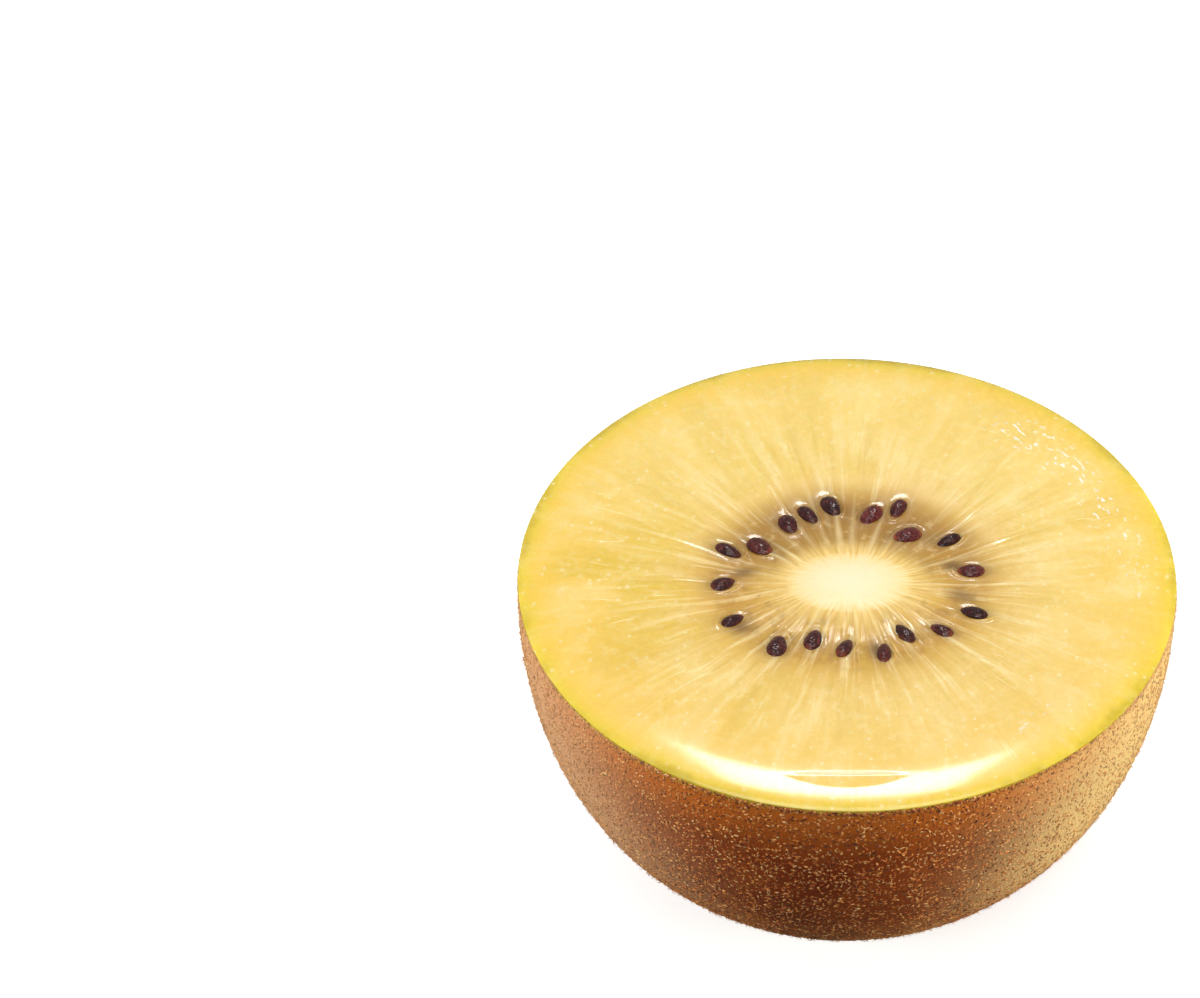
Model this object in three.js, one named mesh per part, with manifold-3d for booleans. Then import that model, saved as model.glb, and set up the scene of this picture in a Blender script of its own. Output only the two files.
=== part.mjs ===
// Half of a golden kiwi fruit, cut across its widest section, resting cut face up on its stem end.
// Millimetres, +Z up. The origin is the middle of the small flat spot that the fruit rests on.
//
// Skin, flesh and core grew as one piece, so they are one solid. The seeds are bedded in that flesh:
// each is fused into the hollow ring round the core, and so are the thin walls between the seed
// chambers. Every surface keeps its own colour, painted on by the tissue that it belongs to.

import * as THREE from "three";
import { mergeVertices } from "three/addons/utils/BufferGeometryUtils.js";
import Module from "manifold-3d";

const wasm = await Module();
wasm.setup();

// The fruit is a slightly flattened barrel, about 54 mm wide, 51 mm deep and 64 mm long when whole.
const HALF_WIDTH = 27;
const HALF_DEPTH = 25.6;
const HALF_LENGTH = 32.1;
const BARREL_POWER = 2.2; // 2 would be an ellipse, and more fills out the shoulder

// The stem end: a flat spot, a shallow dimple in it, and the corky scar that the stalk left.
const FLAT_SPOT_RADIUS = 6.5;
const DIMPLE_RADIUS = 3.9;
const DIMPLE_DEPTH = 1;
const DIMPLE_BEND_HEIGHT = 0.8; // halfway in to the scar, where the dimple's side levels off
const SCAR_RADIUS = 2.1;
const SCAR_FACE_RADIUS = 1.9;
const SCAR_THICKNESS = 0.5;

// The cut face, from the skin's edge inwards: the flesh swells up out of the skin over a rounded lip.
const SKIN_THICKNESS = 0.4;
const LIP_WIDTH = 5;
const LIP_RISE = 0.7;

// The pale core is an oval, wider along X and a little off the fruit's axis. It stands slightly proud.
const CORE_HALF_WIDTH = 5.3;
const CORE_HALF_DEPTH = 3.4;
const CORE_PLACE = new THREE.Vector2(0.2, -0.9);
const CORE_RISE = 0.25;

// The ring of seed chambers, as shares of the way from the edge of the core to the skin.
const CHAMBERS = 24;
const RING_START = 0;
const RING_MIDDLE = 0.2;
const RING_END = 0.42;
const RING_DEPTH = 0.25;

// The walls between chambers are low spindles that run outwards through the ring.
const WALL_START = -0.04;
const WALL_END = 0.46;
const WALL_WIDTH = 0.6;
const WALL_HEIGHT = 0.6;
const WALL_CREST = 0.08; // below the flat flesh outside the ring

// The knife met no seed in these chambers. In the others the seed points roughly at the core.
const EMPTY_CHAMBERS = [1, 11, 14, 18, 23];
const SEED_LENGTH = 2.5;
const SEED_WIDTH = 1.5;
const SEED_THICKNESS = 1.3;
const SEED_SINK = 0.25; // how far a seed's middle lies below the flesh round it
const SEED_TURN = 24; // degrees, the most that a seed is turned away from the core
const BEARING_DRIFT = 7; // degrees, the most that a seed lies off the middle of its chamber
const RING_DRIFT = 0.06; // share of the way to the skin, the most that a seed lies off the ring
const SIZE_DRIFT = 0.1;
const WIDTH_DRIFT = 0.2; // some seeds are slim and some are plump
const DRAW_START = 9377818;

const COLOURS = {
  skin: new THREE.Color(0x8a5a2e),
  scar: new THREE.Color(0x5d4029),
  flesh: new THREE.Color(0xf0cf58),
  core: new THREE.Color(0xfbf1b8),
  seed: new THREE.Color(0x33202a),
};

// How finely the body is faceted: points in a ring, rings in each stretch, and the shares of the way
// from core to skin where the cut face has its rings, closest together in the seed ring.
const FACE_SIDES = 72;
const BARREL_RINGS = 13;
const CORE_RINGS = 2;
const FACE_SHARES = [0.05, 0.1, 0.15, 0.2, 0.26, 0.32, 0.38, 0.46, 0.65];
const LIP_RINGS = 5;

const FULL_TURN = 2 * Math.PI;
const SAME_POINT = 1e-4; // points this close together are one
const SAME_HEIGHT = 1e-3;

// How far the barrel reaches below its widest section at a distance from the axis, along X.
const reachAt = (radius) =>
  HALF_LENGTH * (1 - (radius / HALF_WIDTH) ** BARREL_POWER) ** (1 / BARREL_POWER);
const CUT_HEIGHT = reachAt(FLAT_SPOT_RADIUS);
const FLESH_HEIGHT = CUT_HEIGHT + LIP_RISE;

// A point on the skin's edge, and a point on the core's, at a bearing in radians.
const onOutline = (bearing, share = 1) =>
  new THREE.Vector2(
    share * HALF_WIDTH * Math.cos(bearing),
    share * HALF_DEPTH * Math.sin(bearing),
  );
const onCore = (bearing, share = 1) =>
  new THREE.Vector2(
    share * CORE_HALF_WIDTH * Math.cos(bearing),
    share * CORE_HALF_DEPTH * Math.sin(bearing),
  ).add(CORE_PLACE);

// A point of the cut face, at a share of the way from the core's edge (0) to the skin's (1).
const onFace = (bearing, share) => onCore(bearing).lerp(onOutline(bearing), share);

// The seed ring is a smooth hollow: one cosine wave, lowest at RING_MIDDLE.
function ringHollow(share) {
  if (share <= RING_START || share >= RING_END) return 0;
  const start = share < RING_MIDDLE ? RING_START : RING_END;
  const way = (share - RING_MIDDLE) / (start - RING_MIDDLE);
  return (RING_DEPTH * (1 + Math.cos(Math.PI * way))) / 2;
}

// One closed ring of points for each station, which gives a plan position and a height.
function faceRing(share, height) {
  return (bearing) => [...onFace(bearing, share).toArray(), height];
}
function coreRing(share) {
  const height = FLESH_HEIGHT + CORE_RISE * (1 - share ** 2);
  return (bearing) => [...onCore(bearing, share).toArray(), height];
}
function barrelRing(share, height) {
  return (bearing) => [...onOutline(bearing, share).toArray(), height];
}

// The stations, from the middle of the core over the face, down the skin and in to the stem scar.
function stations() {
  const rings = [];
  for (let i = 1; i <= CORE_RINGS; i++) rings.push(coreRing(i / CORE_RINGS));
  for (const share of FACE_SHARES)
    rings.push(faceRing(share, FLESH_HEIGHT - ringHollow(share)));

  // A quarter turn over the lip, from the flat flesh out and down to the skin's inner edge.
  const faceWidth = HALF_WIDTH - CORE_HALF_WIDTH;
  for (let i = 0; i <= LIP_RINGS; i++) {
    const turn = ((i / LIP_RINGS) * Math.PI) / 2;
    const inset = SKIN_THICKNESS + LIP_WIDTH * (1 - Math.sin(turn));
    rings.push(faceRing(1 - inset / faceWidth, CUT_HEIGHT + LIP_RISE * Math.cos(turn)));
  }

  // Down the barrel, as far as the edge of the flat spot.
  const lastTurn = Math.asin((CUT_HEIGHT / HALF_LENGTH) ** (BARREL_POWER / 2));
  for (let i = 0; i <= BARREL_RINGS; i++) {
    const turn = (i / BARREL_RINGS) * lastTurn;
    const share = Math.cos(turn) ** (2 / BARREL_POWER);
    rings.push(barrelRing(share, CUT_HEIGHT - HALF_LENGTH * Math.sin(turn) ** (2 / BARREL_POWER)));
  }

  // Up the dimple's side to the foot of the scar, then down over the scar's edge to its face.
  const scarFace = DIMPLE_DEPTH - SCAR_THICKNESS;
  for (const [radius, height] of [
    [DIMPLE_RADIUS, 0],
    [(DIMPLE_RADIUS + SCAR_RADIUS) / 2, DIMPLE_BEND_HEIGHT],
    [SCAR_RADIUS, DIMPLE_DEPTH],
    [SCAR_FACE_RADIUS, scarFace],
  ])
    rings.push(barrelRing(radius / HALF_WIDTH, height));
  return { rings, top: [...CORE_PLACE.toArray(), FLESH_HEIGHT + CORE_RISE], bottom: [0, 0, scarFace] };
}

// A closed surface through the rings, with a single point at each end.
function skinOver({ rings, top, bottom }) {
  const points = [...top];
  for (const ring of rings)
    for (let i = 0; i < FACE_SIDES; i++) points.push(...ring((i / FACE_SIDES) * FULL_TURN));
  points.push(...bottom);
  const last = points.length / 3 - 1;
  const at = (ring, i) => 1 + ring * FACE_SIDES + (i % FACE_SIDES);
  const triangles = [];
  for (let i = 0; i < FACE_SIDES; i++) {
    triangles.push(0, at(0, i), at(0, i + 1));
    for (let ring = 1; ring < rings.length; ring++) {
      triangles.push(at(ring - 1, i), at(ring, i), at(ring, i + 1));
      triangles.push(at(ring - 1, i), at(ring, i + 1), at(ring - 1, i + 1));
    }
    triangles.push(last, at(rings.length - 1, i + 1), at(rings.length - 1, i));
  }
  return new THREE.BufferGeometry()
    .setAttribute("position", new THREE.Float32BufferAttribute(points, 3))
    .setIndex(triangles);
}

// A closed three.js geometry as a solid that can be joined to others.
function solidOf(geometry) {
  const plain = geometry.clone();
  plain.deleteAttribute("normal");
  plain.deleteAttribute("uv");
  const merged = mergeVertices(plain, SAME_POINT);
  return new wasm.Manifold(
    new wasm.Mesh({
      numProp: 3,
      vertProperties: new Float32Array(merged.attributes.position.array),
      triVerts: new Uint32Array(merged.index.array),
    }),
  );
}

// The wall between two chambers: a slim spindle along its bearing, bedded in the hollow ring.
function chamberWall(index) {
  const bearing = (index / CHAMBERS) * FULL_TURN;
  const from = onFace(bearing, WALL_START);
  const to = onFace(bearing, WALL_END);
  const middle = from.clone().lerp(to, 0.5);
  const along = to.clone().sub(from);
  const geometry = new THREE.OctahedronGeometry(1, 1);
  geometry.scale(along.length() / 2, WALL_WIDTH / 2, WALL_HEIGHT);
  geometry.rotateZ(along.angle());
  geometry.translate(middle.x, middle.y, FLESH_HEIGHT - WALL_CREST - WALL_HEIGHT);
  return geometry;
}

// The same numbers from 0 to 1 every time, one at each call.
function drawsFrom(start) {
  let state = start;
  return () => {
    state = (Math.imul(state, 1664525) + 1013904223) >>> 0;
    return state / 2 ** 32;
  };
}

// Where each seed lies: in the middle of its chamber on the ring, drifted a little either way.
function placeSeeds() {
  const draw = drawsFrom(DRAW_START);
  const drift = (most) => most * (2 * draw() - 1);
  const seeds = [];
  for (let chamber = 0; chamber < CHAMBERS; chamber++) {
    const bearingDrift = drift(BEARING_DRIFT);
    const share = RING_MIDDLE + drift(RING_DRIFT);
    const turn = THREE.MathUtils.degToRad(drift(SEED_TURN));
    const size = 1 + drift(SIZE_DRIFT);
    const plumpness = 1 + drift(WIDTH_DRIFT);
    if (EMPTY_CHAMBERS.includes(chamber)) continue;
    const degrees = ((chamber + 0.5) * 360) / CHAMBERS + bearingDrift;
    const bearing = THREE.MathUtils.degToRad(degrees);
    const place = onFace(bearing, share);
    const height = FLESH_HEIGHT - ringHollow(share) - SEED_SINK;
    seeds.push(
      new THREE.Matrix4()
        .makeTranslation(place.x, place.y, height)
        .multiply(new THREE.Matrix4().makeRotationZ(place.angle() + turn))
        .scale(
          new THREE.Vector3(SEED_LENGTH, SEED_WIDTH * plumpness, SEED_THICKNESS).multiplyScalar(
            size / 2,
          ),
        ),
    );
  }
  return seeds;
}

// The tissue that a spot of the finished surface belongs to.
function tissueAt(spot, seedFrames) {
  if (seedFrames.some((frame) => spot.clone().applyMatrix4(frame).length() < 1)) return "seed";
  const fromAxis = Math.hypot(spot.x / HALF_WIDTH, spot.y / HALF_DEPTH) * HALF_WIDTH;
  if (spot.z < DIMPLE_DEPTH && fromAxis < SCAR_RADIUS) return "scar";
  if (spot.z < CUT_HEIGHT + SAME_HEIGHT) return "skin";
  const { x, y } = CORE_PLACE;
  const inCore = Math.hypot((spot.x - x) / CORE_HALF_WIDTH, (spot.y - y) / CORE_HALF_DEPTH) < 1;
  return inCore ? "core" : "flesh";
}

// Turns the joined solid into flat-shaded triangles, each in the colour of its tissue.
function painted(solid, seeds) {
  const mesh = solid.getMesh();
  const geometry = new THREE.BufferGeometry()
    .setAttribute("position", new THREE.BufferAttribute(mesh.vertProperties, 3))
    .setIndex(new THREE.BufferAttribute(mesh.triVerts, 1))
    .toNonIndexed();
  const place = geometry.attributes.position;
  const seedFrames = seeds.map((seed) => seed.clone().invert());
  const corner = new THREE.Vector3();
  const colours = [];
  for (let i = 0; i < place.count; i += 3) {
    const middle = new THREE.Vector3();
    for (let k = 0; k < 3; k++) middle.add(corner.fromBufferAttribute(place, i + k));
    const { r, g, b } = COLOURS[tissueAt(middle.divideScalar(3), seedFrames)];
    for (let k = 0; k < 3; k++) colours.push(r, g, b);
  }
  geometry.setAttribute("color", new THREE.Float32BufferAttribute(colours, 3));
  geometry.computeVertexNormals();
  return geometry;
}

function kiwiHalf() {
  let solid = solidOf(skinOver(stations()));
  for (let i = 0; i < CHAMBERS; i++) solid = solid.add(solidOf(chamberWall(i)));
  const seeds = placeSeeds();
  for (const seed of seeds)
    solid = solid.add(solidOf(new THREE.IcosahedronGeometry(1, 1).applyMatrix4(seed)));
  const fleshAndSkin = new THREE.MeshStandardMaterial({
    vertexColors: true,
    roughness: 0.45,
    metalness: 0,
  });
  const mesh = new THREE.Mesh(painted(solid, seeds), fleshAndSkin);
  mesh.name = "kiwi_half";
  return mesh;
}

const fruit = new THREE.Group();
fruit.add(kiwiHalf());

export default fruit;
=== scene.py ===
# %% [markdown]
# # Half of a golden kiwi fruit
#
# The fruit was cut across its middle and stands on its rounded end, cut face up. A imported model
# already holds the real size and the place of everything. This lesson replaces its plain solid with
# finer meshes: the skin with its fuzz, the wet flesh with its pale core, and the seeds. Every surface
# is worked out as whole numpy arrays, so a shape is a formula and not a pile of clicks.

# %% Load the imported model
import math

import bpy
import numpy as np
from mathutils import Matrix, Vector


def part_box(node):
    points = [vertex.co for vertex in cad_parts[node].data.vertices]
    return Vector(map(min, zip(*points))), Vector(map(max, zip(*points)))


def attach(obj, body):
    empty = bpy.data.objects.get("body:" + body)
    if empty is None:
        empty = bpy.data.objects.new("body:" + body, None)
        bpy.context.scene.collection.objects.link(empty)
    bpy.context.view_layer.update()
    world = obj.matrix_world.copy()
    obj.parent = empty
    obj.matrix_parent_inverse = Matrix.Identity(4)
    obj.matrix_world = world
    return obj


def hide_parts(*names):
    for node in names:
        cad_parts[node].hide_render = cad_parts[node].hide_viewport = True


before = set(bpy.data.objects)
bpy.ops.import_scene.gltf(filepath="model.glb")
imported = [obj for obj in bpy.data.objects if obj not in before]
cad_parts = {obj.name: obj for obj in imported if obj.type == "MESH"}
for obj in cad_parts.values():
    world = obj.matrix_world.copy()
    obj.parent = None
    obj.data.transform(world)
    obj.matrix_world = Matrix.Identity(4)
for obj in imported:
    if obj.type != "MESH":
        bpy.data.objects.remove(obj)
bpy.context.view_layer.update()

# %% [markdown]
# ## The measures that every piece shares
#
# The half is a slightly flattened barrel. Its outline from the side is a superellipse, which is an
# ellipse with a power a little above 2, so its shoulder is fuller. The widest sizes are read from
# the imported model, and the rest follow from them.

# %% Main measures
MM = 0.001
FULL_TURN = 2 * math.pi

HALF_WIDTH, HALF_DEPTH, TOP_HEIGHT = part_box("kiwi_half")[1]
CORE_RISE = 0.25 * MM
LIP_RISE = 0.7 * MM
FLESH_HEIGHT = TOP_HEIGHT - CORE_RISE
CUT_HEIGHT = FLESH_HEIGHT - LIP_RISE

BARREL_POWER = 2.2
FLAT_SPOT_RADIUS = 6.5 * MM
flat_share = FLAT_SPOT_RADIUS / HALF_WIDTH
HALF_LENGTH = CUT_HEIGHT / (1 - flat_share**BARREL_POWER) ** (1 / BARREL_POWER)

FUZZ_HEIGHT = 0.2 * MM
SKIN_THICKNESS = 0.12 * MM
print(f"skin's edge {CUT_HEIGHT / MM:.2f} mm up, barrel {HALF_LENGTH / MM:.1f} mm to its far end")

# %% [markdown]
# ## The camera
#
# The picture was taken with a long lens from 46 degrees above, a little to the left of the fruit and
# looking straight along +Y. A camera's own axes are its right, its up and its back, so they are
# written as the columns of its matrix. The optical axis stays in the middle of the picture, and the
# fruit stands off to the lower right of it.

# %% Camera
CAMERA_ELEVATION = math.radians(46)
CAMERA_DISTANCE = 700 * MM
CAMERA_LEFT = 20.1 * MM
CAMERA_UP = 6.623 * MM
PICTURE_WIDTH = 1200
PIXELS_PER_MM = 12.284
SENSOR_WIDTH = 36


def add_object(name, data):
    """A new object in the scene, made of a mesh, a camera or a light."""
    made = bpy.data.objects.new(name, data)
    bpy.context.scene.collection.objects.link(made)
    return made


right = Vector((1, 0, 0))
up = Vector((0, math.sin(CAMERA_ELEVATION), math.cos(CAMERA_ELEVATION)))
back = Vector((0, -math.cos(CAMERA_ELEVATION), math.sin(CAMERA_ELEVATION)))
cut_centre = Vector((0, 0, CUT_HEIGHT))
eye = cut_centre - right * CAMERA_LEFT + up * CAMERA_UP + back * CAMERA_DISTANCE

lens = bpy.data.cameras.new("camera")
lens.sensor_width = SENSOR_WIDTH
lens.lens = PIXELS_PER_MM * (CAMERA_DISTANCE / MM) * SENSOR_WIDTH / PICTURE_WIDTH
camera = add_object("camera", lens)
camera.matrix_world = Matrix.Translation(eye) @ Matrix((right, up, back)).transposed().to_4x4()
bpy.context.scene.camera = camera
print(f"lens {lens.lens:.0f} mm at {CAMERA_DISTANCE:.2f} m")

# %% [markdown]
# ## From numbers to meshes
#
# Most pieces here are rings of points, one above the other, closed by a single point at each end.
# One helper joins such rings with quads and fans. A second one stamps a small closed shape thousands
# of times, each with its own place, turn and size, in one sweep of array arithmetic.


# %% Mesh helpers
def new_piece(name, points, faces, attributes=None):
    """Makes a smooth mesh object from an (n, 3) array of points and a list of faces.

    Each attribute is an array with one row for each point: three columns are a vector.
    """
    mesh = bpy.data.meshes.new(name)
    mesh.from_pydata(points, [], faces)
    mesh.polygons.foreach_set("use_smooth", np.ones(len(mesh.polygons), bool))
    for title, values in (attributes or {}).items():
        wide = values.ndim == 2
        made = mesh.attributes.new(title, "FLOAT_VECTOR" if wide else "FLOAT", "POINT")
        made.data.foreach_set("vector" if wide else "value", values.astype(np.float32).ravel())
    mesh.update()
    print(f"{name}: {len(points)} points, {len(faces)} faces")
    return add_object(name, mesh)


def ring_faces(rings, lit_sides):
    """Faces for a pole, then rings of points, then another pole.

    The pole is point 0. Quads join point i of a ring to point i + 1 and to the next ring, and fans
    join the first and last ring to the poles. Seen from outside, they all run the same way round.
    """
    numbers = 1 + np.arange(rings * lit_sides).reshape(rings, lit_sides)
    beside = np.roll(numbers, -1, axis=1)
    quads = np.stack([numbers[:-1], numbers[1:], beside[1:], beside[:-1]], -1).reshape(-1, 4)
    last = rings * lit_sides + 1
    top = np.stack([np.zeros(lit_sides, int), numbers[0], beside[0]], -1)
    bottom = np.stack([np.full(lit_sides, last), beside[-1], numbers[-1]], -1)
    return quads.tolist() + top.tolist() + bottom.tolist()


def stamp(points, faces, places, axes):
    """Copies of a small closed shape: each point times the copy's three axes, plus its place.

    The axes are a (copies, 3, 3) array whose rows say where the shape's own X, Y and Z go.
    """
    copies = np.einsum("pk,ckj->cpj", points, axes) + places[:, None, :]
    firsts = len(points) * np.arange(len(places))
    all_faces = []
    for size in sorted({len(face) for face in faces}):
        alike = np.array([face for face in faces if len(face) == size])
        all_faces += (alike[None] + firsts[:, None, None]).reshape(-1, size).tolist()
    return copies.reshape(-1, 3), all_faces


def bearings(lit_sides):
    """Angles spread evenly over a full turn."""
    return np.arange(lit_sides) * FULL_TURN / lit_sides


def on_oval(bearing, half_width, half_depth):
    """Points of an oval: half the width times cosine across, half the depth times sine along."""
    return np.stack([half_width * np.cos(bearing), half_depth * np.sin(bearing)], -1)


def oval_rings(shares, heights, half_width, half_depth):
    """Points of rings, one for each row of heights: the oval times the ring's share, at the heights."""
    around = on_oval(bearings(heights.shape[1]), half_width, half_depth)
    return np.dstack([shares[:, None, None] * around, heights]).reshape(-1, 3)


def wrapped(angle):
    """An angle brought to between minus and plus half a turn."""
    return (angle + math.pi) % FULL_TURN - math.pi


def bell(value, width):
    """The bell curve exp(-(value / width) squared): 1 in the middle, and gone past twice the width."""
    return np.exp(-((value / width) ** 2))


# %% [markdown]
# ## The plan of the cut face
#
# A place on the cut face is told by two numbers: a bearing round the core, and a share of the way
# out. The share is -1 in the middle of the core, 0 at its edge and 1 at the edge of the skin. The
# core is an oval a little off the middle, so the lines of equal bearing fan out unevenly, exactly
# as the fibres of the fruit do. Everything on the face, from seeds to streaks, uses this plan.

# %% Plan of the cut face
CORE_HALF_WIDTH = 5.3 * MM
CORE_HALF_DEPTH = 3.4 * MM
CORE_PLACE = np.array([0.2, -0.9]) * MM
FACE_WIDTH = HALF_WIDTH - CORE_HALF_WIDTH


def on_face(bearing, share):
    """Plan points of the cut face.

    Inside the core the core's oval shrinks to its middle. Outside it, a point lies a share of the
    straight way from the core's edge to the skin's edge at the same bearing.
    """
    within = (1 + np.minimum(share, 0))[..., None]
    beyond = np.maximum(share, 0)[..., None]
    core_edge = CORE_PLACE + within * on_oval(bearing, CORE_HALF_WIDTH, CORE_HALF_DEPTH)
    return core_edge + beyond * (on_oval(bearing, HALF_WIDTH, HALF_DEPTH) - core_edge)


# %% [markdown]
# ## Where the seeds lie
#
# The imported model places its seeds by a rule: one in the middle of each of the 24 chambers, drifted
# a little by a simple repeatable generator of numbers. The same rule runs here, so that the finer
# seeds lie where the plain ones do. The knife met no seed in five chambers. There a seed lies deeper,
# and shows only as a soft shadow in the flesh.

# %% Seed places
CHAMBERS = 24
EMPTY_CHAMBERS = (1, 11, 14, 18, 23)
RING_MIDDLE = 0.2
RING_END = 0.42
RING_DEPTH = 0.25 * MM
SEED_SIZE = np.array([2.5, 1.5, 1.3]) * MM
SEED_SINK = 0.25 * MM
SEED_TURN = math.radians(24)
BEARING_DRIFT = math.radians(7)
RING_DRIFT = 0.06
SIZE_DRIFT = 0.1
WIDTH_DRIFT = 0.2
DRAW_START = 9377818


def drift_table(rows, columns, state):
    """Numbers from -1 to 1: each state is the last times 1664525 plus 1013904223, modulo 2^32."""
    values = []
    for _ in range(rows * columns):
        state = (state * 1664525 + 1013904223) % 2**32
        values.append(2 * state / 2**32 - 1)
    return np.array(values).reshape(rows, columns)


def ring_hollow(share):
    """The hollow of the seed ring: one cosine wave, deepest at RING_MIDDLE and zero at its ends."""
    inner = share / RING_MIDDLE - 1
    outer = (share - RING_MIDDLE) / (RING_END - RING_MIDDLE)
    way = np.clip(np.where(share < RING_MIDDLE, inner, outer), -1, 1)
    return RING_DEPTH * (1 + np.cos(math.pi * way)) / 2


chamber = np.arange(CHAMBERS)
drift = drift_table(CHAMBERS, 5, DRAW_START)
seed_bearing = (chamber + 0.5) * FULL_TURN / CHAMBERS + BEARING_DRIFT * drift[:, 0]
seed_share = RING_MIDDLE + RING_DRIFT * drift[:, 1]
seed_place = on_face(seed_bearing, seed_share)
seed_angle = np.arctan2(seed_place[:, 1], seed_place[:, 0]) + SEED_TURN * drift[:, 2]
seed_half = SEED_SIZE / 2 * (1 + SIZE_DRIFT * drift[:, 3:4])
seed_half[:, 1] *= 1 + WIDTH_DRIFT * drift[:, 4]
has_seed = ~np.isin(chamber, EMPTY_CHAMBERS)
print(f"{has_seed.sum()} seeds in {CHAMBERS} chambers")


def distance_to_seeds(place, chosen):
    """For each plan point: the distance to the nearest chosen seed, the angle round it, and which.

    The point is turned into the seed's own frame, and divided by the seed's half length and half
    width, so 1 is the seed's outline whatever way it points.
    """
    away = place[:, None, :] - seed_place[chosen][None]
    cos, sin = np.cos(seed_angle[chosen]), np.sin(seed_angle[chosen])
    along = (away[..., 0] * cos + away[..., 1] * sin) / seed_half[chosen, 0]
    across = (away[..., 1] * cos - away[..., 0] * sin) / seed_half[chosen, 1]
    distance = np.hypot(along, across)
    which = distance.argmin(axis=1)
    rows = np.arange(len(place))
    return distance[rows, which], np.arctan2(across, along)[rows, which], which


# %% [markdown]
# ## The relief of the cut face
#
# Cut fruit isn't flat. The soft jelly of the seed chambers sinks, the fibres between them stand up,
# the core is proud, and the outer flesh swells over the edge of the skin in a rounded lip. A bump
# texture could fake this, but the wet glints need real slopes, so each form is a term of one height
# formula. The fibres are spokes: ridges with a bell-shaped section that run out along a bearing.

# %% Spokes
SPOKE_SEED = 11
WALLS = {"count": 34, "half_width": 0.2 * MM, "start": -0.03, "ends": (0.2, 0.6)}
FIBRES = {"count": 3 * CHAMBERS, "half_width": 0.13 * MM, "start": -0.2, "ends": (0.08, 0.3)}
SHIFT = 0.25
LEAST_WEIGHT = 0.25
WAVER = 0.05
WAVER_WAVES = 9
FADE_IN = 0.3
FADE_OUT_POWER = 0.7
THINNING = 0.55


def spokes(bearing, share, count, half_width, start, ends, rng):
    """How much each point belongs to one of `count` fibres that run outwards, from 0 to 1.

    The nearest fibres are found by dividing the bearing by their spacing. The distance sideways is
    the angle to the fibre times the radius, and the ridge is a bell curve of it, faded in at the
    start and out towards the fibre's own end. The fibre thins as it goes out.
    """
    spacing = FULL_TURN / count
    shift = rng.uniform(-SHIFT, SHIFT, count) * spacing
    reach = rng.uniform(*ends, count)
    weight = rng.uniform(LEAST_WEIGHT, 1, count)
    phase = rng.uniform(0, FULL_TURN, count)
    radius = np.hypot(*on_face(bearing, share).T)
    found = np.zeros_like(share)
    for step in (-1, 0, 1):
        number = (np.round(bearing / spacing).astype(int) + step) % count
        waver = WAVER * spacing * np.sin(WAVER_WAVES * share + phase[number])
        sideways = wrapped(bearing - number * spacing - shift[number] - waver) * radius
        way = np.clip((share - start) / (reach[number] - start), 0, 1)
        fade = np.clip(way / FADE_IN, 0, 1) * (1 - way) ** FADE_OUT_POWER
        thin = half_width * (1 - THINNING * way)
        found = np.maximum(found, weight[number] * fade * bell(sideways, thin))
    return found


# %% [markdown]
# ## The lip
#
# Where the flesh meets the skin it swells, so the face rolls over in a long, very gentle slope and
# then turns down sharply. The first part is a power curve and the second a quarter of an oval. On the
# side nearest the camera the knife took a second, shallow bite: a little plane, straight on the
# inside and bounded by the lip's own curve on the outside, so it has the outline of a lens.

# %% Height of the cut face
ROLL_WIDTH = 5.6 * MM
ROLL_DROP = 0.45 * MM
ROLL_POWER = 2.3
EDGE_WIDTH = 0.9 * MM
EDGE_DROP = 0.13 * MM
EDGE_INSET = FUZZ_HEIGHT + 0.01 * MM

BITE_LINE = -21.5 * MM
BITE_MIDDLE = -0.7 * MM
BITE_HALF_WIDTH = 7.2 * MM
BITE_DEPTH = 0.14 * MM
BITE_STEP_WIDTH = 0.4 * MM
BITE_CREST_WIDTH = 0.22 * MM

WALL_RISE = 0.13 * MM
FIBRE_RISE = 0.05 * MM
JELLY_RIM_RISE = 0.14 * MM
JELLY_RIM_SPAN = 1.1
JELLY_RIM_DISTANCE = 1.2
JELLY_RIM_WIDTH = 0.16
POCKET_DEPTH = 0.1 * MM

# Painted shade in the flesh: a soft shadow over each deeper seed, and a fainter one round each cut seed.
DEEP_SEED_SHADE, DEEP_SEED_SHADE_WIDTH = 0.8, 0.85
NEAR_SEED_SHADE, NEAR_SEED_SHADE_WIDTH = 0.3, 1.5
JELLY_WIDTH = 3.2
FIBRE_PALENESS = 0.45
# How strongly a highlight line is painted along the crest of the knife's second bite.
PAINTED_CREST_HIGHLIGHT = 1.5


def lip_drop(inset):
    """How far the face has dropped at a distance inside its outer edge: power curve plus oval."""
    roll = np.clip(1 - inset / ROLL_WIDTH, 0, 1)
    edge = np.clip(1 - inset / EDGE_WIDTH, 0, 1)
    return ROLL_DROP * roll**ROLL_POWER + EDGE_DROP * (1 - np.sqrt(1 - edge**2))


def bite_drop(place):
    """The second bite of the knife: a smooth step at its line, shallower away from its middle."""
    step = np.clip((BITE_LINE - place[:, 1]) / BITE_STEP_WIDTH, 0, 1)
    way = np.clip((place[:, 0] - BITE_MIDDLE) / BITE_HALF_WIDTH, -1, 1)
    return BITE_DEPTH * (1 - way**2) * step**2 * (3 - 2 * step)


def face_height(share, place):
    """Flat flesh, less the lip's drop or the bite's, the deeper of the two, and less the hollow."""
    dome = CORE_RISE * np.where(share < 0, 1 - (1 + share) ** 2, 0)
    inset = (1 - share) * FACE_WIDTH - EDGE_INSET
    drop = np.maximum(lip_drop(inset), bite_drop(place))
    return FLESH_HEIGHT - drop + dome - ring_hollow(share)
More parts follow.
